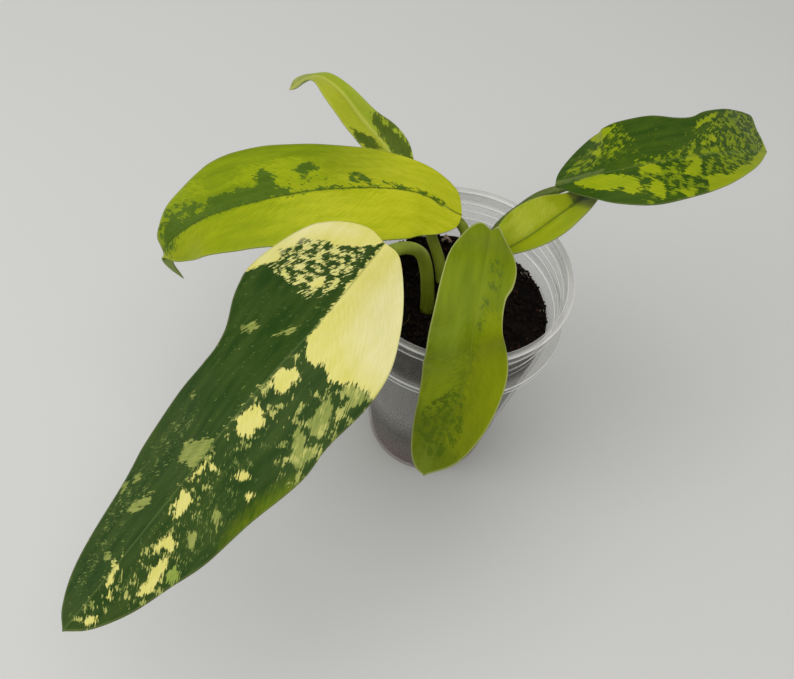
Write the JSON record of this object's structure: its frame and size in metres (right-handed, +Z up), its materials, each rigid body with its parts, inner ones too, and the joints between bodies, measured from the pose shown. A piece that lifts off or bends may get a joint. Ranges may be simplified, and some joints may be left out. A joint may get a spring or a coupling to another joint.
{
  "type": "potted variegated spadeleaf philodendron",
  "caption": "young aroid house plant with long, cream and lime variegated spade-shaped leaves, rooted in potting mix in a ribbed see-through cup",
  "frame": {"origin": "centre of the cup's flat foot, on the surface it stands on", "axes": "+Z up along the cup's axis; -Y towards the viewer of the picture, where one leaf hangs over the rim; +X to the viewer's right"},
  "size_m": [0.1897, 0.204, 0.1213],
  "materials": {
    "cup_plastic": "see-through grey plastic with fine rings",
    "potting_mix": "near-black crumbly mix",
    "stem": "smooth green stem",
    "leaf_cream_green": "satin dark green leaf with cream sectors",
    "leaf_lime": "satin yellow-green leaf",
    "leaf_marbled": "satin dark green leaf marbled with lime",
    "leaf_olive": "satin olive-green leaf"
  },
  "bodies": {
    "root": {"cup": "cup_plastic", "potting_mix": "potting_mix", "stem": "stem", "leaf_front_left_cream": "leaf_cream_green", "leaf_upper_left_lime": "leaf_lime", "leaf_back_small": "leaf_lime", "leaf_right_marbled": "leaf_marbled", "leaf_right_channelled": "leaf_lime", "leaf_front_hanging": "leaf_olive"}
  },
  "joints": []
}
